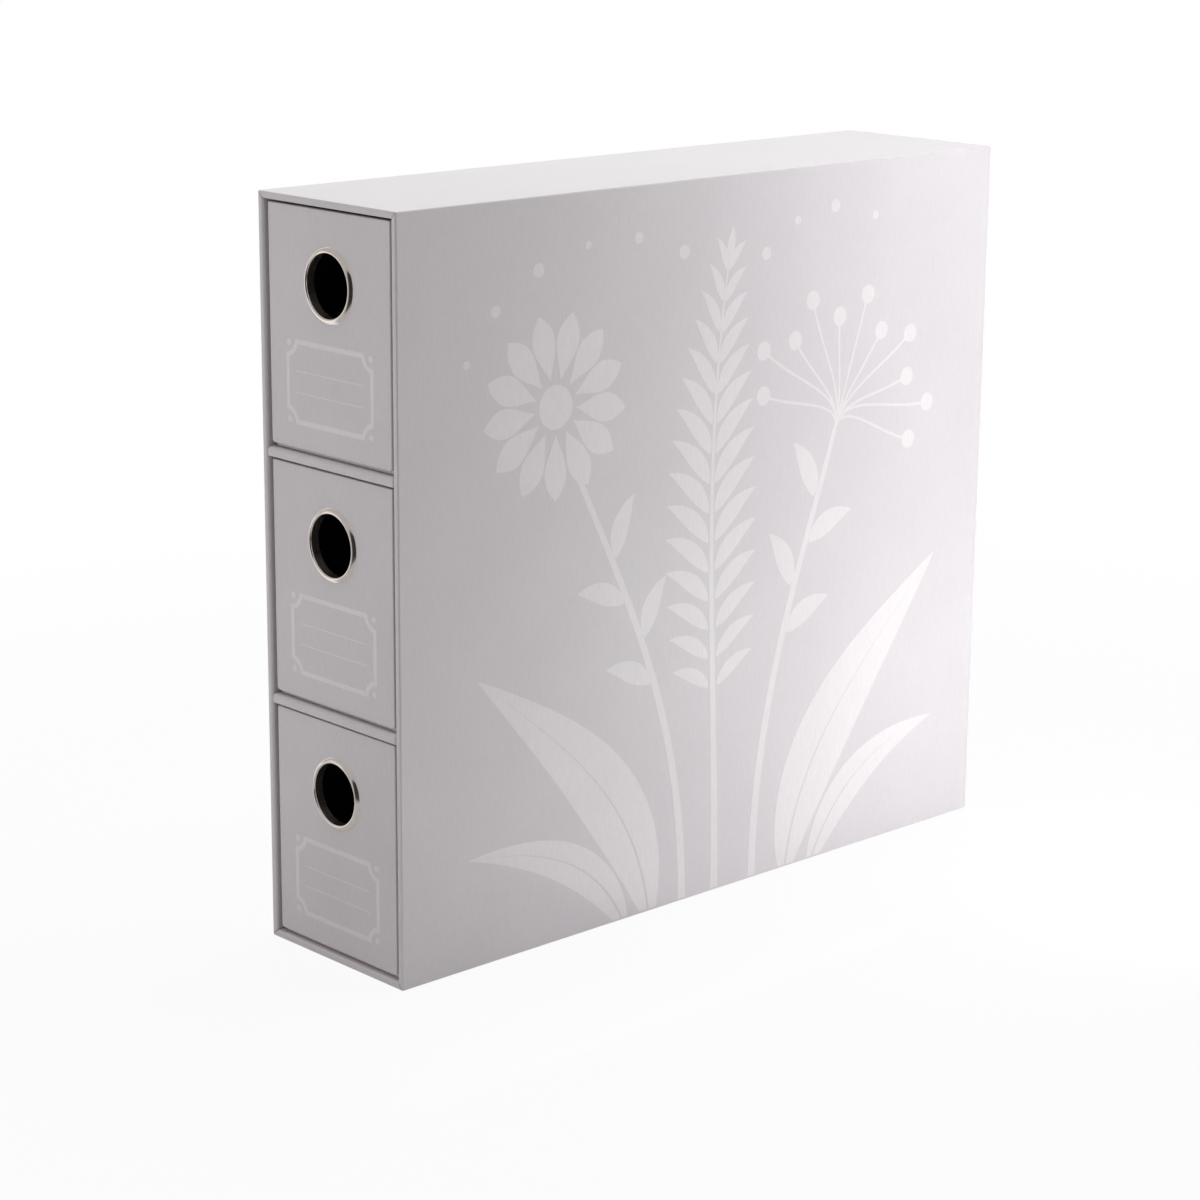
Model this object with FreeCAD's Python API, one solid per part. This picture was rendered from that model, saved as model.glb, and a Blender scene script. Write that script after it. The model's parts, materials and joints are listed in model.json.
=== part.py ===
"""Three-drawer box for trading cards: a greyboard slipcase, two shelves and three trays.

Frame: X across the width, Y from the drawer fronts (-Y) to the back, Z up.
The origin is the centre of the footprint, on the surface the box stands on.  Millimetres.
"""
import FreeCAD, Part
import math
import os

from FreeCAD import Vector

# ---------------------------------------------------------------- driving dimensions
case_width = 98.4           # outside of the case, over its paper
case_depth = 398.0
case_height = 360.0
case_board = 3.0            # greyboard of the five case walls
paper = 0.25                # every covering and lining paper
case_edge_round = 0.8       # outside edges of the case
rim_round = 1.2             # inner edge of the front rim
turn_in = 15.0              # how far the covering paper runs in behind the rim
mitre_gap = 0.35            # slit where two turned-in flaps meet at a rim corner

shelf_board = 4.2           # two laminated boards
shelf_nose_round = 1.6      # upper front edge of a shelf
shelf_chin_round = 0.7      # lower front edge
shelf_end_round = 1.0       # upright corners at the two ends of the front edge

storeys = ("lower", "middle", "upper")
shelves = ("lower", "upper")
drawer_board = 2.0          # sides, back and bottom of a drawer
front_board = 2.5           # drawer front, which carries the ring
recess = 1.25               # drawer fronts stand back from the rim
side_clearance = 2.2        # beside a drawer, each side
head_clearance = 1.1        # above a drawer
running_gap = 0.2           # under a drawer
tail_gap = 0.3              # behind a closed drawer
toe_lift = 1.9              # lower edge of a drawer front, above the drawer's bottom
heel_round = 1.8            # long bottom edges of a drawer
lip_round = 0.6             # top edges of a drawer
end_round = 0.5             # edges round the outside of its front and its back
drawer_turn_in = 4.0        # covering paper that shows inside, below the top edge

ring_drop = 33.7            # ring centre below the top of a drawer
ring_bore = 14.7            # radius of the finger hole, inside the barrel
ring_metal = 0.5            # sheet thickness
ring_crest = 0.9            # crest line, outside the bore
ring_flange = 2.85          # flange edge, outside the bore
ring_height = 1.25          # crest above the paper of the drawer front
ring_fit = 0.1              # between the barrel and the board
ring_shoulder = 0.45        # where the dome turns down, as a share of its width
ring_rise = 0.64            # and of its height
washer_width = 3.0
washer_thickness = 0.5
curl_width = 1.8            # barrel end rolled out over the washer
curl_height = 0.8

# ---------------------------------------------------------------- derived sizes
case_wall = case_board + 2 * paper
shelf_thickness = shelf_board + 2 * paper
front_wall = front_board + 2 * paper
drawer_wall = drawer_board + 2 * paper

half_width = case_width / 2
front_y = -case_depth / 2
back_y = case_depth / 2
room_half_width = half_width - case_wall
room_back_y = back_y - case_wall
shelf_room = case_height - 2 * case_wall - len(shelves) * shelf_thickness
storey_height = shelf_room / len(storeys)

drawer_half_width = room_half_width - side_clearance
drawer_front_y = front_y + recess
drawer_back_y = room_back_y - tail_gap
drawer_height = storey_height - head_clearance - running_gap

beyond = 5.0                # how far a cutting tool runs past what it cuts
diagonal = math.sqrt(0.5)


# ---------------------------------------------------------------- helpers
def block(low, high):
    """Box between two opposite corners."""
    size = Vector(*high) - Vector(*low)
    return Part.makeBox(size.x, size.y, size.z, Vector(*low))


def same(value, target):
    return abs(value - target) < 1e-6


def edges_at(shape, **levels):
    """Edges that lie wholly where each named axis has the given value."""
    found = []
    for edge in shape.Edges:
        box = edge.BoundBox
        ends = [(getattr(box, axis + end), level) for axis, level in levels.items() for end in ("Min", "Max")]
        if all(same(end, level) for end, level in ends):
            found.append(edge)
    return found


def hollowed(body, room, radius, **mouth_level):
    """Cut a box-shaped room out of a body and round the edges of its mouth."""
    body = body.cut(room)
    mouth = []
    for edge in edges_at(body, **mouth_level):
        if room.BoundBox.isInside(edge.BoundBox.Center):
            mouth.append(edge)
    return body.makeFillet(radius, mouth)


def split(body, zones):
    """Pieces of a body, one for each named zone."""
    return {name: body.common(zone) for name, zone in zones.items()}


def storey_floor(index):
    """Height of the floor of one storey, lowest first."""
    return case_wall + index * (storey_height + shelf_thickness)


# ---------------------------------------------------------------- case
def case_shell(inset):
    """Case walls, open at the front, with every face moved into the wall by inset."""
    body = block(
        (-half_width + inset, front_y + inset, inset),
        (half_width - inset, back_y - inset, case_height - inset),
    )
    body = body.makeFillet(case_edge_round - inset, body.Edges)
    face = case_wall - inset
    room = block(
        (-half_width + face, front_y - beyond, face),
        (half_width - face, back_y - face, case_height - face),
    )
    return hollowed(body, room, rim_round - inset, Y=front_y + inset)


def case_boards(core):
    """Full-height sides, top and bottom between them, and the back inside all four."""
    side = room_half_width + paper
    low = case_wall - paper
    high = case_height - low
    return split(core, {
        "left_board": block((-half_width, front_y, 0), (-side, back_y, case_height)),
        "right_board": block((side, front_y, 0), (half_width, back_y, case_height)),
        "bottom_board": block((-side, front_y, 0), (side, back_y, low)),
        "top_board": block((-side, front_y, high), (side, back_y, case_height)),
        "back_board": block((-side, front_y, low), (side, back_y, high)),
    })


def corner_slit(side, level):
    """Thin tool on the diagonal of one rim corner; side and level are -1 or +1."""
    start = case_edge_round / diagonal
    length = (case_wall + paper) / diagonal - start
    tool = Part.makeBox(length, turn_in + beyond, mitre_gap)
    tool.translate(Vector(start, front_y - beyond, -mitre_gap / 2))
    # The tool runs along +X; turned about Y it points from the corner into the rim.
    heading = math.degrees(math.atan2(level, -side))
    tool.rotate(Vector(0, 0, 0), Vector(0, 1, 0), heading)
    tool.translate(Vector(side * half_width, 0, case_height * (level + 1) / 2))
    return tool


def base_sheet_zone():
    """Room of the base sheet, which meets the wrap at 45 degrees in both bottom corners."""
    corners = [
        Vector(-half_width, front_y, 0),
        Vector(half_width, front_y, 0),
        Vector(room_half_width, front_y, case_wall),
        Vector(-room_half_width, front_y, case_wall),
    ]
    outline = Part.makePolygon(corners + corners[:1])
    return Part.Face(outline).extrude(Vector(0, case_depth, 0))


def case_papers(skin):
    """Covering papers with their turned-in flaps, and the linings behind the flaps."""
    for side in (-1, 1):
        for level in (-1, 1):
            skin = skin.cut(corner_slit(side, level))

    side = room_half_width + paper
    low = case_wall - paper
    high = case_height - low
    flap_end = front_y + turn_in
    back_board_face = room_back_y + paper
    room_low = case_wall
    room_high = case_height - case_wall
    room = room_half_width

    inside = block((-side, flap_end, low), (side, back_board_face, high))
    papers = split(skin.common(inside), {
        "left_lining": block((-side, flap_end, low), (-room, back_board_face, high)),
        "right_lining": block((room, flap_end, low), (side, back_board_face, high)),
        "floor_lining": block((-room, flap_end, low), (room, back_board_face, room_low)),
        "ceiling_lining": block((-room, flap_end, room_high), (room, back_board_face, high)),
        "back_lining": block((-room, flap_end, room_low), (room, back_board_face, room_high)),
    })

    cover = skin.cut(inside)
    back_sheet = block(
        (-half_width + case_edge_round, back_y - paper, case_edge_round),
        (half_width - case_edge_round, back_y, case_height - case_edge_round),
    )
    papers["back_paper"] = cover.common(back_sheet)
    cover = cover.cut(back_sheet)
    papers["base_paper"] = cover.common(base_sheet_zone())
    papers["case_wrap"] = cover.cut(base_sheet_zone())
    return papers


# ---------------------------------------------------------------- shelves
def shelf_body(inset):
    """A shelf on height zero, with its faces moved in by inset, back to the lining."""
    end = room_half_width - inset
    edge_y = front_y + inset
    top = shelf_thickness - inset
    body = block((-end, edge_y, inset), (end, room_back_y, top))
    uprights = edges_at(body, X=-end, Y=edge_y) + edges_at(body, X=end, Y=edge_y)
    body = body.makeFillet(shelf_end_round - inset, uprights)
    body = body.makeFillet(shelf_nose_round - inset, edges_at(body, Y=edge_y, Z=top))
    return body.makeFillet(shelf_chin_round - inset, edges_at(body, Y=edge_y, Z=inset))


def shelf_parts():
    """Core and covering paper of a shelf on height zero."""
    core = shelf_body(paper)
    return {"shelf_board": core, "shelf_paper": shelf_body(0).cut(core)}


# ---------------------------------------------------------------- drawer
def drawer_length(low, high, end_y, inset):
    """One length of a drawer's outside, rounded along its sides and round one end."""
    body = block(low, high)
    for level, radius in ((low[2], heel_round), (high[2], lip_round)):
        long_edges = edges_at(body, X=low[0], Z=level) + edges_at(body, X=high[0], Z=level)
        body = body.makeFillet(radius - inset, long_edges)
    return body.makeFillet(end_round - inset, edges_at(body, Y=end_y))


def drawer_shell(inset):
    """Tray on height zero, open at the top, with every face moved in by inset."""
    x = drawer_half_width - inset
    y0 = drawer_front_y + inset
    y1 = drawer_back_y - inset
    top = drawer_height - inset
    joint = drawer_front_y + front_board + inset
    front = drawer_length((-x, y0, toe_lift + inset), (x, joint, top), y0, inset)
    tray = drawer_length((-x, joint, inset), (x, y1, top), y1, inset)
    body = front.fuse(tray).removeSplitter()
    room = block(
        (-x + drawer_wall - 2 * inset, y0 + front_wall - 2 * inset, drawer_wall - inset),
        (x - drawer_wall + 2 * inset, y1 - drawer_wall + 2 * inset, top + beyond),
    )
    return hollowed(body, room, lip_round - inset, Z=top)


def drawer_boards(core):
    """Front and back full width, sides between them, and the bottom inside all four."""
    x = drawer_half_width
    side = x - drawer_wall + paper
    y0 = drawer_front_y
    front = y0 + front_wall - paper
    y1 = drawer_back_y
    back = y1 - drawer_wall + paper
    low = drawer_wall - paper
    return split(core, {
        "front": block((-x, y0, 0), (x, front, drawer_height)),
        "back": block((-x, back, 0), (x, y1, drawer_height)),
        "left_side": block((-x, front, 0), (-side, back, drawer_height)),
        "right_side": block((side, front, 0), (x, back, drawer_height)),
        "bottom": block((-side, front, 0), (side, back, low)),
    })


def drawer_lining_zone():
    """Inside of a drawer, from its bottom board up to the end of the turned-in paper."""
    side = drawer_half_width - drawer_wall + paper
    return block(
        (-side, drawer_front_y + front_wall - paper, drawer_wall - paper),
        (side, drawer_back_y - drawer_wall + paper, drawer_height - drawer_turn_in),
    )


def drawer_parts():
    """Every piece of a drawer that stands on height zero."""
    centre_z = drawer_height - ring_drop
    hole = Part.makeCylinder(
        ring_bore + ring_metal + ring_fit,
        front_wall + 2 * beyond,
        Vector(0, drawer_front_y - beyond, centre_z),
        Vector(0, 1, 0),
    )
    core = drawer_shell(paper)
    skin = drawer_shell(0).cut(core)
    parts = drawer_boards(core)
    parts["front"] = parts["front"].cut(hole)
    parts["wrap"] = skin.cut(drawer_lining_zone()).cut(hole)
    parts["lining"] = skin.common(drawer_lining_zone()).cut(hole)
    parts["ring"] = turned(ring_outline(), centre_z)
    parts["ring_washer"] = turned(washer_outline(), centre_z)
    return parts


# ---------------------------------------------------------------- finger ring
def section_point(radius, proud):
    """Point of a half section: x is the radius, and -y stands proud of the front."""
    return Vector(radius, -proud, 0)


def section_arc(start, middle, end):
    points = [section_point(*place) for place in (start, middle, end)]
    return Part.Arc(*points).toShape()


def section_line(start, end):
    return Part.makeLine(section_point(*start), section_point(*end))


def ring_outline():
    """Half section of the ring: domed flange, barrel, and end curled over the washer."""
    metal = ring_metal
    crest = ring_bore + ring_crest
    flange = ring_bore + ring_flange
    barrel = ring_bore + metal
    neck_height = ring_height - ring_crest
    washer_back = -front_wall - washer_thickness
    curl_end = ring_bore + curl_width

    edge = (flange, 0)
    bend = (flange - ring_shoulder * (flange - crest), ring_rise * ring_height)
    top = (crest, ring_height)
    throat_turn = ring_crest * (1 - diagonal)
    throat = (ring_bore + throat_turn, ring_height - throat_turn)
    mouth = (ring_bore, neck_height)
    tail = (ring_bore, washer_back)
    curl = (ring_bore + curl_width / 2, washer_back - curl_height)
    curl_foot = (curl_end, washer_back)
    washer_corner = (barrel, washer_back)

    neck = (barrel, neck_height)
    inner_turn = (ring_crest - metal) * (1 - diagonal)
    inner_throat = (barrel + inner_turn, ring_height - metal - inner_turn)
    inner_top = (crest, ring_height - metal)
    inner_bend = (bend[0] - metal * diagonal, bend[1] - metal * diagonal)
    inner_edge = (flange - metal, 0)
    return Part.Wire([
        section_arc(edge, bend, top),
        section_arc(top, throat, mouth),
        section_line(mouth, tail),
        section_arc(tail, curl, curl_foot),
        section_line(curl_foot, washer_corner),
        section_line(washer_corner, neck),
        section_arc(neck, inner_throat, inner_top),
        section_arc(inner_top, inner_bend, inner_edge),
        section_line(inner_edge, edge),
    ])


def washer_outline():
    """Half section of the washer behind the drawer front."""
    inner = ring_bore + ring_metal + ring_fit
    outer = inner + washer_width
    near = -front_wall
    far = near - washer_thickness
    corners = [
        section_point(inner, near),
        section_point(outer, near),
        section_point(outer, far),
        section_point(inner, far),
    ]
    return Part.makePolygon(corners + corners[:1])


def turned(outline, centre_z):
    """Turn a half section about the ring's axis, at its place in the drawer front."""
    body = Part.Face(outline).revolve(Vector(0, 0, 0), Vector(0, 1, 0), 360)
    body.translate(Vector(0, drawer_front_y, centre_z))
    return body


# ---------------------------------------------------------------- assembly
def raised(parts, prefix, height):
    """Copies of named parts at a height, with the prefix before each name."""
    placed = {}
    for name, shape in parts.items():
        copy = shape.copy()
        copy.translate(Vector(0, 0, height))
        placed[prefix + name] = copy
    return placed


def whole_box():
    """Every piece of the box, by name."""
    core = case_shell(paper)
    nodes = case_boards(core)
    nodes.update(case_papers(case_shell(0).cut(core)))
    shelf = shelf_parts()
    for index, name in enumerate(shelves):
        height = storey_floor(index) + storey_height
        nodes.update(raised(shelf, name + "_", height))
    drawer = drawer_parts()
    for index, name in enumerate(storeys):
        height = storey_floor(index) + running_gap
        nodes.update(raised(drawer, name + "_drawer_", height))
    return nodes


os.makedirs("parts", exist_ok=True)
for node, shape in whole_box().items():
    solids = shape.Solids
    sound = shape.isValid() and len(solids) == 1
    shape.exportStep("parts/" + node + ".step")
    print(node, round(shape.Volume, 1), "mm3", "" if sound else "NOT ONE SOUND SOLID")
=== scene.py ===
import json
import math

import bmesh
import bpy
from mathutils import Euler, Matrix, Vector
from mathutils.geometry import delaunay_2d_cdt


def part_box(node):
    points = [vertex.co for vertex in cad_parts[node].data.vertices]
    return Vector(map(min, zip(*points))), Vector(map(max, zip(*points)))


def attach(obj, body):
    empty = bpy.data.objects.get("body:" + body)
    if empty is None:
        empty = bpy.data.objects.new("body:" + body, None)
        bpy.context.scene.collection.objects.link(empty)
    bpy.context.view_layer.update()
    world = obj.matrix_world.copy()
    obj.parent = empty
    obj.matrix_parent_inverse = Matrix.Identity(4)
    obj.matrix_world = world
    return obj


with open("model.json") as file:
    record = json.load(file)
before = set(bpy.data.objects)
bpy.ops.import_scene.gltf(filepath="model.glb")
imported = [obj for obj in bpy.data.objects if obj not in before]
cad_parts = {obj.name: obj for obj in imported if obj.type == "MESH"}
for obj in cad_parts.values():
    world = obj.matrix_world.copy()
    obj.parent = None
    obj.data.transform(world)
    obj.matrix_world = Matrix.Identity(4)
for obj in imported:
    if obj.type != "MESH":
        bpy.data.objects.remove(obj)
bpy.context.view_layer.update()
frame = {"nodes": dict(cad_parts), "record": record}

MM = 0.001
STOREYS = ("lower", "middle", "upper")

# Camera, measured from the centre of the footprint
IMAGE_SIZE = 1200
FOCAL_PIXELS = 3079.5
SENSOR = 36.0
CAMERA_PLACE = Vector((1.0777, -1.0423, 0.5382))
CAMERA_TURN = math.radians(46.79)
CAMERA_DIP = math.radians(14.80)
CAMERA_ROLL = math.radians(0.44)

# Colours, as sRGB values out of 255
PAPER_COLOUR = (216, 209, 212)
PRINT_COLOUR = (233, 226, 227)
LINING_COLOUR = (206, 203, 203)
BLACK_COLOUR = (50, 48, 49)
BOARD_COLOUR = (148, 142, 134)
NICKEL_COLOUR = (236, 226, 219)

# Finishes, as values of the shader's sockets
PEARL = {"Roughness": 0.42, "Specular IOR Level": 0.8, "Coat Weight": 0.45, "Coat Roughness": 0.32}
SATIN = {"Roughness": 0.36, "Specular IOR Level": 0.8, "Coat Weight": 0.45, "Coat Roughness": 0.25}
MATT = {"Roughness": 0.7, "Specular IOR Level": 0.3}
PULP = {"Roughness": 0.9, "Specular IOR Level": 0.25}
POLISHED = {"Metallic": 0.95, "Roughness": 0.12}

# Fibres, grain and clouds of the papers, in cycles per metre. FLAT_SLOPE is the least upward share
# of the normal of a flat. PAPER_DEPTH is in millimetres
FIBRES_UPRIGHT = (1000, 1000, 170)
FIBRES_ON_FLATS = (170, 1000, 1000)
FLAT_SLOPE = 0.7
PAPER_GRAIN = 3200.0
PAPER_CLOUDS = 22.0
CLOUD_TONE = 0.015
ROUGHNESS_SPREAD = 0.04
PAPER_DEPTH = 0.04

# Flecks and clouds of the greyboard, and haze and turning marks of the nickel, in the same units
FLECKS = (900, 350, 900)
BOARD_CLOUDS = 60.0
FLECK_TONES = (0.8, 1.2)
BOARD_TONES = (0.95, 1.05)
BOARD_DEPTH = 0.08
HAZE = 350.0
TURNING_MARKS = (500, 9000, 500)
HAZE_ROUGHNESS = (0.09, 0.16)
HAZE_TONES = (0.97, 1.03)
MARK_DEPTH = 0.01

# Ink, in millimetres: how far it stands out of the paper and goes into it
PRINT_RISE = 0.05
PRINT_SUNK = 0.03

# Points closer than this are one, in millimetres. INSIDE keeps only what the outlines hold
SAME = 0.001
INSIDE = 1

# Label under each ring, in millimetres from the ring's centre
LABEL_HALF_WIDTH = 31.5
LABEL_TOP = -27.0
LABEL_FOOT = -66.5
LABEL_BAND = 2.4
LABEL_SCOOP = 6.5
LABEL_DOT = 1.6
LABEL_DOT_INSET = 2.0
RULES = (-41.7, -51.7)
RULE_HALF_LENGTH = 24.5
RULE_HALF_THICKNESS = 0.3

# Meadow on the right wall, in millimetres along the wall from the front edge and up from the foot.
# Stems are given by their half thickness, and bows and widths as shares of a leaf's length
WALL_FOOT = 1.3
STEM_ROOT = 2.6
STEM_END = 0.5
STALK_END = 1.6
STALK_GAP = 3.4
STALK_LEAF_WIDTH = 0.17
LEAFLET_GAP = 1.3
LEAFLET_BOW = 0.12
LEAFLET_WIDTH = 0.13
RIB_GAP = 1.4
PETAL_GAP = 2.0
RAY_HALF_THICKNESS = 0.7
SHORT_RAY = 0.82

# Frond: where its last pair of leaflets is, how far the first pair leans out and how much less the
# last does, in degrees, how short its leaflets get, and the part of a sine wave that they follow
LAST_PAIR = 0.985
FIRST_LEAN = 62
LEAN_LOST = 30
SHORTEST = 0.35
WAVE_START = 0.22
WAVE_SHARE = 0.72

# Stage, in metres. AMBIENT is the world's light, FLOOR_LIFT the share of plain white in what the
# floor shows near the box, which grows to all of it over FADE_EDGES, and FLOOR_GLOW the share of
# white that the floor gives as light
WHITE = (1, 1, 1, 1)
AMBIENT = 0.2
FLOOR_SIZE = 30.0
FLOOR_COLOUR = (236, 236, 236)
FLOOR_LIFT = 0.92
FLOOR_GLOW = 0.08
FADE_EDGES = (0.35, 0.9)

# Lamps' colours: those to the right are bluer than those in front, and the one overhead is cooler
WARM = (1.0, 0.99, 1.0)
COOL = (0.965, 1.01, 0.99)
BLUISH = (0.97, 0.995, 1.01)

# Dimmer front of the studio, which only gloss shows
DIM_WAY = Vector((0.0, -1.0, 0.0))
DIM_FLOOR_WAY = Vector((0.25, -0.97, 0.0))
DIM_EDGES = (0.0, 0.3)
DIM_FLOOR_EDGES = (0.62, 0.76)
DIM_LEVEL = 0.48

# Its unlit end, in front of the box and to its right, which only gloss shows as well
DARK_WAY = Vector((0.49, -0.86, -0.16))
DARK_FLOOR_WAY = Vector((0.5, -0.87, 0.0))
DARK_EDGES = (0.74, 0.84)
DARK_FLOOR_EDGES = (0.42, 0.6)
DARK_LEVEL = 0.03


# ---------------------------------------------------------------- nodes

def linear(colour):
    """A colour given as sRGB values out of 255, as linear RGB."""
    parts = [c / 255 for c in colour]
    return [c / 12.92 if c <= 0.04045 else ((c + 0.055) / 1.055) ** 2.4 for c in parts]


def add(tree, kind, inputs=None, **settings):
    """A new node with its settings, and with its inputs set to values or linked to sockets."""
    node = tree.nodes.new(kind)
    for key, value in settings.items():
        setattr(node, key, value)
    for key, value in (inputs or {}).items():
        if isinstance(value, bpy.types.NodeSocket):
            tree.links.new(value, node.inputs[key])
        else:
            node.inputs[key].default_value = value
    return node


def new_material(name, finish):
    material = bpy.data.materials.new(name)
    material.use_nodes = True
    shader = material.node_tree.nodes["Principled BSDF"]
    for key, value in finish.items():
        shader.inputs[key].default_value = value
    return material, material.node_tree, shader


def reckoned(tree, operation, *values):
    return add(tree, "ShaderNodeMath", dict(enumerate(values)), operation=operation).outputs[0]


def noise(tree, vector, scale, detail=2.0, roughness=0.5):
    inputs = {"Vector": vector, "Scale": scale, "Detail": detail, "Roughness": roughness}
    return add(tree, "ShaderNodeTexNoise", inputs).outputs[0]


def stretched(tree, vector, scale):
    return add(tree, "ShaderNodeMapping", {"Vector": vector, "Scale": scale}).outputs[0]


def between(tree, factor, low, high):
    """Maps 0.3 to 0.7, where most of a noise lies, to low to high."""
    inputs = {"Value": factor, "From Min": 0.3, "From Max": 0.7, "To Min": low, "To Max": high}
    return add(tree, "ShaderNodeMapRange", inputs).outputs[0]


def colour_by(tree, shader, colour, *tones):
    """Gives the shader the colour, made lighter and darker by the product of the tones."""
    total = tones[0]
    for tone in tones[1:]:
        total = reckoned(tree, "MULTIPLY", total, tone)
    inputs = {"Vector": linear(colour), "Scale": total}
    scaled = add(tree, "ShaderNodeVectorMath", inputs, operation="SCALE").outputs[0]
    tree.links.new(scaled, shader.inputs["Base Color"])


def relief_by(tree, shader, height, strength, depth):
    inputs = {"Height": height, "Strength": strength, "Distance": depth * MM}
    tree.links.new(add(tree, "ShaderNodeBump", inputs).outputs[0], shader.inputs["Normal"])


# ---------------------------------------------------------------- materials

def paper(name, colour, finish, streak, relief):
    """Paper with fibres that run up the walls and across the flats, and an even fine grain."""
    material, tree, shader = new_material(name, finish)
    coords = add(tree, "ShaderNodeTexCoord")
    place = coords.outputs["Object"]
    slope = add(tree, "ShaderNodeSeparateXYZ", {0: coords.outputs["Normal"]}).outputs["Z"]
    lies_flat = reckoned(tree, "GREATER_THAN", reckoned(tree, "ABSOLUTE", slope), FLAT_SLOPE)
    grained = add(tree, "ShaderNodeMix", data_type="VECTOR")
    tree.links.new(lies_flat, grained.inputs[0])
    tree.links.new(stretched(tree, place, FIBRES_UPRIGHT), grained.inputs[4])
    tree.links.new(stretched(tree, place, FIBRES_ON_FLATS), grained.inputs[5])
    fibres = noise(tree, grained.outputs[1], 1.0, detail=3.0)
    grain = noise(tree, place, PAPER_GRAIN)
    clouds = noise(tree, place, PAPER_CLOUDS)
    colour_by(
        tree, shader, colour,
        between(tree, fibres, 1 - streak, 1 + streak),
        between(tree, grain, 1 - streak / 2, 1 + streak / 2),
        between(tree, clouds, 1 - CLOUD_TONE, 1 + CLOUD_TONE),
    )
    low, high = finish["Roughness"] - ROUGHNESS_SPREAD, finish["Roughness"] + ROUGHNESS_SPREAD
    tree.links.new(between(tree, grain, low, high), shader.inputs["Roughness"])
    relief_by(tree, shader, reckoned(tree, "ADD", fibres, grain), relief, PAPER_DEPTH)
    return material


def board(name, colour):
    """Grey chipboard: pressed pulp with darker and lighter flecks, longer from front to back."""
    material, tree, shader = new_material(name, PULP)
    place = add(tree, "ShaderNodeTexCoord").outputs["Object"]
    flecks = noise(tree, stretched(tree, place, FLECKS), 1.0, detail=4.0, roughness=0.7)
    clouds = noise(tree, place, BOARD_CLOUDS)
    tones = between(tree, flecks, *FLECK_TONES), between(tree, clouds, *BOARD_TONES)
    colour_by(tree, shader, colour, *tones)
    relief_by(tree, shader, flecks, 0.4, BOARD_DEPTH)
    return material


def nickel(name, colour):
    """Polished nickel plate with a little haze and faint turning marks."""
    material, tree, shader = new_material(name, POLISHED)
    place = add(tree, "ShaderNodeTexCoord").outputs["Object"]
    haze = noise(tree, place, HAZE, detail=3.0)
    marks = noise(tree, stretched(tree, place, TURNING_MARKS), 1.0)
    tree.links.new(between(tree, haze, *HAZE_ROUGHNESS), shader.inputs["Roughness"])
    colour_by(tree, shader, colour, between(tree, haze, *HAZE_TONES))
    relief_by(tree, shader, marks, 0.05, MARK_DEPTH)
    return material


materials = {
    "cover_paper": paper("pearl_paper", PAPER_COLOUR, PEARL, streak=0.022, relief=0.09),
    "case_lining": paper("lining_paper", LINING_COLOUR, MATT, streak=0.03, relief=0.1),
    "drawer_lining": paper("black_paper", BLACK_COLOUR, MATT, streak=0.15, relief=0.2),
    "greyboard": board("grey_board", BOARD_COLOUR),
    "ring_nickel": nickel("nickel_plate", NICKEL_COLOUR),
}
ink = paper("pearl_ink", PRINT_COLOUR, SATIN, streak=0.025, relief=0.08)

slots = {part["node"]: part["material_slot"] for part in frame["record"]["subparts"]}
for name, node in frame["nodes"].items():
    node.data.materials.clear()
    node.data.materials.append(materials[slots[name]])


# ---------------------------------------------------------------- flat shapes

def arc(centre, radius, start, end, steps=14):
    """Points along a circle's arc, from one angle to another, in degrees."""
    turns = [math.radians(start + (end - start) * i / steps) for i in range(steps + 1)]
    return [(centre[0] + radius * math.cos(t), centre[1] + radius * math.sin(t)) for t in turns]


def disc(centre, radius):
    return arc(centre, radius, 0, 360, 28)[:-1]


def curved(start, toward, onto, end):
    """The point and the direction at each share t of a cubic curve's way."""
    corners = [Vector(p) for p in (start, toward, onto, end)]

    def at(t):
        a, b, c, d = corners
        s = 1 - t
        point = a * s**3 + b * 3 * s * s * t + c * 3 * s * t * t + d * t**3
        way = (b - a) * s * s + (c - b) * 2 * s * t + (d - c) * t * t
        return point, way.normalized()

    return at


def strip(path, left, right, steps=40):
    """The shape along a path whose sides stand left(t) and right(t) away from it."""
    sides = [], []
    for i in range(steps + 1):
        t = i / steps
        point, way = path(t)
        across = Vector((-way.y, way.x))
        sides[0].append(point + across * left(t))
        sides[1].append(point - across * right(t))
    return sides[1] + sides[0][::-1]


def above(shape, foot):
    """The part of a shape that lies above the foot."""
    kept = []
    for a, b in zip(shape, shape[1:] + shape[:1]):
        if a[1] >= foot:
            kept.append(a)
        if (a[1] >= foot) != (b[1] >= foot):
            share = (foot - a[1]) / (b[1] - a[1])
            kept.append((a[0] + (b[0] - a[0]) * share, foot))
    return kept


def tidied(shape):
    """The shape without doubled points, and turned anticlockwise."""
    points = [Vector(p) for p in shape]
    points = [p for p, last in zip(points, points[-1:] + points[:-1]) if (p - last).length > SAME]
    twice_area = sum(a.cross(b) for a, b in zip(points, points[1:] + points[:1]))
    return points if twice_area > 0 else points[::-1]


def bulge(width, fullest=0.42):
    """A leaf's half width at each t: pointed at both ends and fullest part of the way up."""
    power = math.log(0.5) / math.log(fullest)
    return lambda t: width * math.sin(math.pi * t**power) ** 0.9 if 0 < t < 1 else 0.0


def leaf(base, tip, width, bow):
    """A small leaf whose middle bows sideways by a share of its length."""
    base, tip = Vector(base), Vector(tip)
    length = tip - base
    side = Vector((-length.y, length.x)) * bow
    path = curved(base, base + length / 3 + side, base + length * 2 / 3 + side, tip)
    return strip(path, bulge(width), bulge(width), steps=14)


# ---------------------------------------------------------------- printed pieces

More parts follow.
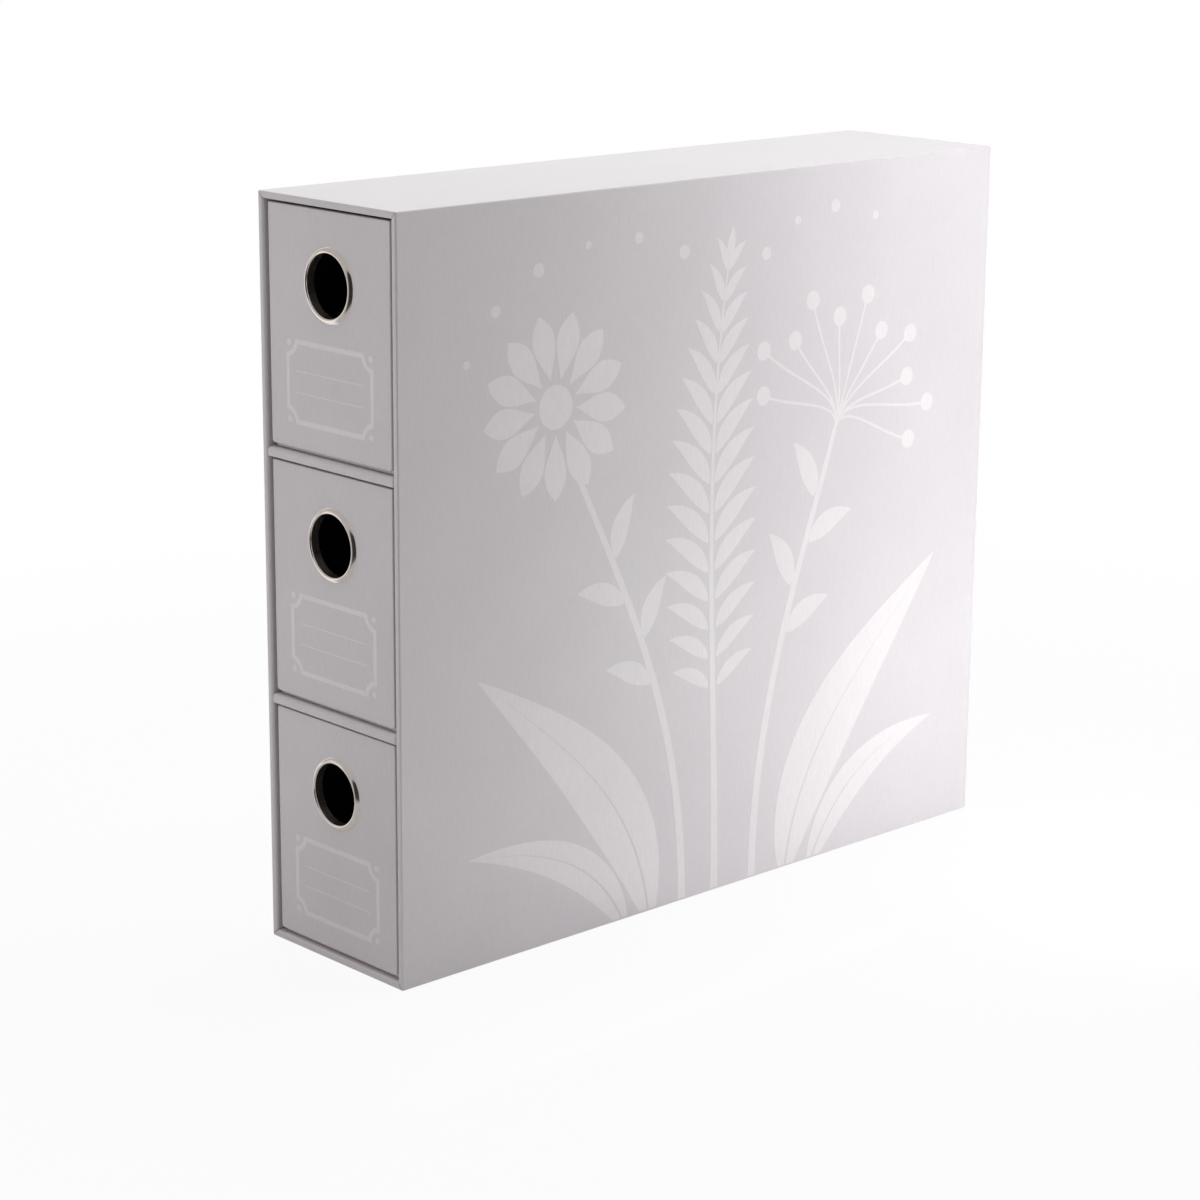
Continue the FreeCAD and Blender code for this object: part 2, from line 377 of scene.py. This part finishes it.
def printed(name, shapes, placed, body):
    """One thin layer of ink on the union of the flat shapes.

    placed(u, v, rise) puts a point of the shapes on the box, that far out of the paper.
    """
    points, loops = [], []
    for shape in map(tidied, shapes):
        loops.append(list(range(len(points), len(points) + len(shape))))
        points += shape
    flat, _, faces, _, _, covers = delaunay_2d_cdt(points, [], loops, INSIDE, SAME / 10, True)
    inked = [face for face, cover in zip(faces, covers) if cover]
    mesh = bmesh.new()
    under = [mesh.verts.new(placed(u, v, -PRINT_SUNK)) for u, v in flat]
    over = [mesh.verts.new(placed(u, v, PRINT_RISE)) for u, v in flat]
    rim = {}
    for face in inked:
        mesh.faces.new([over[i] for i in face])
        mesh.faces.new([under[i] for i in reversed(face)])
        for side in zip(face, face[1:] + face[:1]):
            if rim.pop(side[::-1], None) is None:
                rim[side] = True
    for a, b in rim:
        mesh.faces.new([over[b], over[a], under[a], under[b]])
    loose = [vertex for vertex in mesh.verts if not vertex.link_faces]
    bmesh.ops.delete(mesh, geom=loose, context="VERTS")
    bmesh.ops.recalc_face_normals(mesh, faces=mesh.faces)
    data = bpy.data.meshes.new(name)
    mesh.to_mesh(data)
    mesh.free()
    data.materials.append(ink)
    piece = bpy.data.objects.new(name, data)
    bpy.context.scene.collection.objects.link(piece)
    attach(piece, body)


def scooped(inset):
    """The label's outline, moved inwards by inset: a rectangle with its corners scooped out."""
    radius = LABEL_SCOOP + inset
    lean = math.degrees(math.asin(inset / radius))
    outline = []
    corners = (
        (LABEL_HALF_WIDTH, LABEL_TOP, 270, 180),
        (-LABEL_HALF_WIDTH, LABEL_TOP, 360, 270),
        (-LABEL_HALF_WIDTH, LABEL_FOOT, 90, 0),
        (LABEL_HALF_WIDTH, LABEL_FOOT, 180, 90),
    )
    for u, v, start, end in corners:
        outline += arc((u, v), radius, start - lean, end + lean)
    return outline


def label_shapes():
    """A frame with a dot in each corner and two ruled lines."""
    outer, inner = scooped(0), scooped(LABEL_BAND)
    following = list(range(1, len(outer))) + [0]
    band = [[outer[i], outer[k], inner[k], inner[i]] for i, k in enumerate(following)]
    reach = LABEL_HALF_WIDTH - LABEL_DOT_INSET
    heights = LABEL_FOOT + LABEL_DOT_INSET, LABEL_TOP - LABEL_DOT_INSET
    dots = [disc((u, v), LABEL_DOT) for u in (-reach, reach) for v in heights]
    rules = []
    for middle in RULES:
        low, high = middle - RULE_HALF_THICKNESS, middle + RULE_HALF_THICKNESS
        ends = (-RULE_HALF_LENGTH, RULE_HALF_LENGTH)
        rules.append([(ends[0], low), (ends[1], low), (ends[1], high), (ends[0], high)])
    return band + dots + rules


def make_labels():
    for storey in STOREYS:
        ring_low, ring_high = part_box(f"{storey}_drawer_ring")
        centre = (ring_low.z + ring_high.z) / 2
        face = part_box(f"{storey}_drawer_wrap")[0].y

        def placed(u, v, rise):
            return (u * MM, face - rise * MM, centre + v * MM)

        printed(f"{storey}_drawer_label", label_shapes(), placed, f"{storey}_drawer")


def turned(way, degrees):
    """A direction turned anticlockwise."""
    angle = math.radians(degrees)
    return way * math.cos(angle) + Vector((-way.y, way.x)) * math.sin(angle)


def stem(path, end):
    """A stem that thins towards its end."""
    half = lambda t: STEM_ROOT + (end - STEM_ROOT) * t
    return strip(path, half, half)


def leaflet(path, t, lean, length, width, gap):
    """A leaf beside a path. lean is in degrees to its left, and width a share of its length."""
    point, way = path(t)
    aim = turned(way, lean)
    base = point + aim * gap
    return leaf(base, base + aim * length, length * width, math.copysign(LEAFLET_BOW, -lean))


def frond(path, longest, pairs, first):
    """A stem with pairs of leaflets that grow to the longest and shrink again towards the tip."""
    shapes = [stem(path, STEM_END)]
    for i in range(pairs):
        share = i / (pairs - 1)
        t = first + (LAST_PAIR - first) * share
        wave = math.sin(math.pi * (WAVE_START + WAVE_SHARE * share))
        length = longest * (SHORTEST + (1 - SHORTEST) * wave)
        gap = STEM_ROOT + (STEM_END - STEM_ROOT) * t + LEAFLET_GAP
        lean = FIRST_LEAN - LEAN_LOST * share
        for turn in (-lean, lean):
            shapes.append(leaflet(path, t, turn, length, LEAFLET_WIDTH, gap))
    end, way = path(1)
    shapes.append(leaf(end, end + way * longest * 0.5, longest * 0.07, 0.0))
    return shapes


def stalk(path, first, last, lean, length):
    """A stem with four leaves, to its left and right by turns."""
    shapes = [stem(path, STALK_END)]
    for i in range(4):
        t = first + (last - first) * i / 3
        turn = lean if i % 2 else -lean
        shapes.append(leaflet(path, t, turn, length, STALK_LEAF_WIDTH, STALK_GAP))
    return shapes


def broad_leaf(path, width):
    """A large leaf in two halves, one on each side of an open rib."""
    outline = bulge(width)
    rib = lambda t: RIB_GAP / 2 * (1 - t)
    shapes = []
    for side in (-1, 1):
        outer = lambda t: side * (rib(t) + outline(t))
        inner = lambda t: -side * rib(t)
        shapes.append(strip(path, outer, inner))
    return shapes


def daisy(centre, petals, eye, reach, width):
    """A round eye with petals of one length about it, fuller towards their tips."""
    shapes = [disc(centre, eye)]
    outline = bulge(width, 0.6)
    for i in range(petals):
        out = turned(Vector((0, 1)), 360 * (i + 0.5) / petals)
        base = Vector(centre) + out * (eye + PETAL_GAP)
        path = curved(base, base + out * reach / 3, base + out * reach * 2 / 3, base + out * reach)
        shapes.append(strip(path, outline, outline, steps=14))
    return shapes


def umbel(point, way, rays, spread, reach, berry):
    """Thin rays that part from the end of a stem, long and short by turns, each with a berry."""
    shapes = []
    thin = lambda t: RAY_HALF_THICKNESS
    for i in range(rays):
        out = turned(way, spread * (0.5 - i / (rays - 1)))
        length = reach if i % 2 else reach * SHORT_RAY
        end = point + out * length
        path = curved(point, point + way * length * 0.3, point + out * length * 0.6, end)
        shapes += [strip(path, thin, thin, steps=12), disc(end, berry)]
    return shapes


def seeds(path, count, radii):
    """Loose seeds along a path, with the radii by turns."""
    return [disc(path(i / (count - 1))[0], radii[i % len(radii)]) for i in range(count)]


def meadow_shapes():
    """A daisy, a frond and an umbel over broad leaves, with loose seeds, cut off at the foot."""
    to_daisy = curved((180, 0), (180, 96), (142, 160), (106, 232))
    to_umbel = curved((230, 0), (230, 96), (262, 160), (284, 226))
    shapes = []
    shapes += frond(curved((203, 0), (203, 110), (188, 210), (206, 318)), 37, 15, first=0.33)
    shapes += stalk(to_daisy, 0.46, 0.76, -48, 32)
    shapes += daisy((94, 262), petals=13, eye=10.5, reach=32, width=7.0)
    shapes += stalk(to_umbel, 0.5, 0.82, 48, 34)
    shapes += umbel(*to_umbel(1), rays=11, spread=168, reach=70, berry=4.8)
    shapes += broad_leaf(curved((158, -6), (150, 60), (108, 92), (46, 140)), 18)
    shapes += broad_leaf(curved((254, -6), (260, 60), (306, 96), (364, 150)), 19)
    shapes += broad_leaf(curved((142, -6), (126, 34), (90, 50), (40, 54)), 10)
    shapes += broad_leaf(curved((272, -6), (288, 34), (320, 54), (366, 60)), 10)
    shapes += seeds(curved((40, 288), (60, 330), (130, 350), (176, 326)), 6, (2.0, 2.8, 3.4))
    shapes += seeds(curved((232, 320), (250, 338), (280, 346), (310, 332)), 4, (3.2, 2.2))
    return [above(shape, WALL_FOOT) for shape in shapes]


def make_meadow():
    case_low, case_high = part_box("case_wrap")

    def placed(u, v, rise):
        return (case_high.x + rise * MM, case_low.y + u * MM, v * MM)

    printed("right_wall_meadow", meadow_shapes(), placed, "case")


make_labels()
make_meadow()


# ---------------------------------------------------------------- stage

def seen_directly(tree):
    """1 for rays from the camera, from gloss and through glass, and 0 for the rest."""
    rays = add(tree, "ShaderNodeLightPath").outputs
    seen = reckoned(tree, "MAXIMUM", rays["Is Camera Ray"], rays["Is Glossy Ray"])
    return reckoned(tree, "MAXIMUM", seen, rays["Is Transmission Ray"])


def mixed(tree, factor, first, second):
    inputs = {0: factor, 1: first.outputs[0], 2: second.outputs[0]}
    return add(tree, "ShaderNodeMixShader", inputs)


def ramp(tree, value, edges):
    """0 below the first edge, 1 above the second, and smooth between them."""
    inputs = {"Value": value, "From Min": edges[0], "From Max": edges[1]}
    return add(tree, "ShaderNodeMapRange", inputs, interpolation_type="SMOOTHSTEP").outputs[0]


def white_level(tree, dim, dark):
    """1, or for gloss less where it is dim or dark."""
    gloss = add(tree, "ShaderNodeLightPath").outputs["Is Glossy Ray"]
    level = 1.0
    for share, low in ((dim, DIM_LEVEL), (dark, DARK_LEVEL)):
        lost = reckoned(tree, "MULTIPLY", reckoned(tree, "MULTIPLY", share, gloss), 1 - low)
        level = reckoned(tree, "MULTIPLY", level, reckoned(tree, "SUBTRACT", 1.0, lost))
    return level


def share_along(tree, vector, way):
    """The cosine of the angle between a direction and the way."""
    inputs = {0: vector, 1: way.normalized()}
    return add(tree, "ShaderNodeVectorMath", inputs, operation="DOT_PRODUCT").outputs["Value"]


def make_world():
    """White where it is seen, and dimmer as a light."""
    world = bpy.data.worlds.new("studio")
    bpy.context.scene.world = world
    world.use_nodes = True
    tree = world.node_tree
    way = add(tree, "ShaderNodeTexCoord").outputs["Generated"]
    dim = ramp(tree, share_along(tree, way, DIM_WAY), DIM_EDGES)
    dark = ramp(tree, share_along(tree, way, DARK_WAY), DARK_EDGES)
    level = white_level(tree, dim, dark)
    light = add(tree, "ShaderNodeBackground", {"Color": WHITE, "Strength": AMBIENT})
    white = add(tree, "ShaderNodeBackground", {"Color": WHITE, "Strength": level})
    shown = mixed(tree, seen_directly(tree), light, white)
    tree.links.new(shown.outputs[0], tree.nodes["World Output"].inputs["Surface"])


def make_floor():
    """A white floor that keeps the shadow near the box and runs into the white backdrop."""
    mesh = bmesh.new()
    bmesh.ops.create_grid(mesh, x_segments=1, y_segments=1, size=FLOOR_SIZE / 2)
    data = bpy.data.meshes.new("floor")
    mesh.to_mesh(data)
    mesh.free()
    floor = bpy.data.objects.new("floor", data)
    bpy.context.scene.collection.objects.link(floor)
    material, tree, shader = new_material("floor", {"Roughness": 1.0, "Specular IOR Level": 0.0})
    shader.inputs["Base Color"].default_value = (*linear(FLOOR_COLOUR), 1)
    place = add(tree, "ShaderNodeTexCoord").outputs["Object"]
    away = add(tree, "ShaderNodeVectorMath", {0: place}, operation="LENGTH").outputs["Value"]
    way = add(tree, "ShaderNodeVectorMath", {0: place}, operation="NORMALIZE").outputs[0]
    dim = ramp(tree, share_along(tree, way, DIM_FLOOR_WAY), DIM_FLOOR_EDGES)
    dark = ramp(tree, share_along(tree, way, DARK_FLOOR_WAY), DARK_EDGES)
    dark = reckoned(tree, "MULTIPLY", dark, ramp(tree, away, DARK_FLOOR_EDGES))
    fade = ramp(tree, away, FADE_EDGES)
    lift = add(tree, "ShaderNodeMapRange", {"Value": fade, "To Min": FLOOR_LIFT, "To Max": 1.0})
    level = white_level(tree, dim, dark)
    white = add(tree, "ShaderNodeEmission", {"Color": WHITE, "Strength": level})
    share = reckoned(tree, "MULTIPLY", seen_directly(tree), lift.outputs[0])
    share = reckoned(tree, "MAXIMUM", share, FLOOR_GLOW)
    shown = mixed(tree, share, shader, white)
    tree.links.new(shown.outputs[0], tree.nodes["Material Output"].inputs["Surface"])
    data.materials.append(material)


def lamp(name, place, target, size, power, colour, in_gloss=False):
    """A lamp with its width and height in metres and its power in watts. No camera sees it."""
    light = bpy.data.lights.new(name, "AREA")
    light.color = colour
    light.shape = "RECTANGLE"
    light.size, light.size_y = size
    light.energy = power
    holder = bpy.data.objects.new(name, light)
    bpy.context.scene.collection.objects.link(holder)
    holder.location = place
    holder.rotation_euler = (Vector(target) - Vector(place)).to_track_quat("-Z", "Y").to_euler()
    holder.visible_camera = False
    holder.visible_glossy = in_gloss


def make_lamps():
    lamp("overhead", (-0.1, 0.7, 1.7), (0.0, 0.0, 0.2), (1.6, 1.2), 18.0, COOL)
    lamp("above_front", (-0.1, -0.7, 1.7), (0.0, 0.0, 0.2), (1.6, 1.0), 6.7, WARM)
    lamp("right", (0.25, 0.19, 0.23), (0.0, 0.19, 0.23), (0.08, 0.42), 0.22, BLUISH)
    lamp("right_foot", (0.3, 0.19, 0.06), (0.0, 0.19, 0.05), (0.1, 0.1), 0.26, BLUISH)
    lamp("right_top", (0.3, 0.19, 0.45), (0.0, 0.19, 0.42), (0.1, 0.2), 0.42, BLUISH)
    lamp("near_foot", (0.16, -0.12, 0.02), (0.05, -0.12, 0.02), (0.3, 0.03), 0.013, BLUISH)
    lamp("front", (-1.35, -1.5, 0.25), (0.0, -0.2, 0.15), (1.0, 1.0), 1.1, WARM, in_gloss=True)
    lamp("low_front", (-0.6, -1.4, 0.1), (0.0, -0.2, 0.05), (1.2, 0.2), 1.6, WARM)
    lamp("left", (-1.7, 0.0, 0.3), (0.0, 0.0, 0.15), (1.6, 0.6), 7.0, WARM)
    lamp("back", (-0.5, 1.8, 0.3), (0.0, 0.1, 0.15), (1.2, 0.6), 2.4, WARM)


def make_camera():
    lens = bpy.data.cameras.new("camera")
    lens.sensor_width = SENSOR
    lens.lens = SENSOR * FOCAL_PIXELS / IMAGE_SIZE
    camera = bpy.data.objects.new("camera", lens)
    bpy.context.scene.collection.objects.link(camera)
    turn = Euler((math.pi / 2 - CAMERA_DIP, 0.0, CAMERA_TURN)).to_matrix()
    roll = Euler((0.0, 0.0, CAMERA_ROLL)).to_matrix()
    camera.rotation_euler = (turn @ roll).to_euler()
    camera.location = CAMERA_PLACE
    bpy.context.scene.camera = camera


make_world()
make_floor()
make_lamps()
make_camera()
bpy.context.scene.view_settings.view_transform = "Standard"
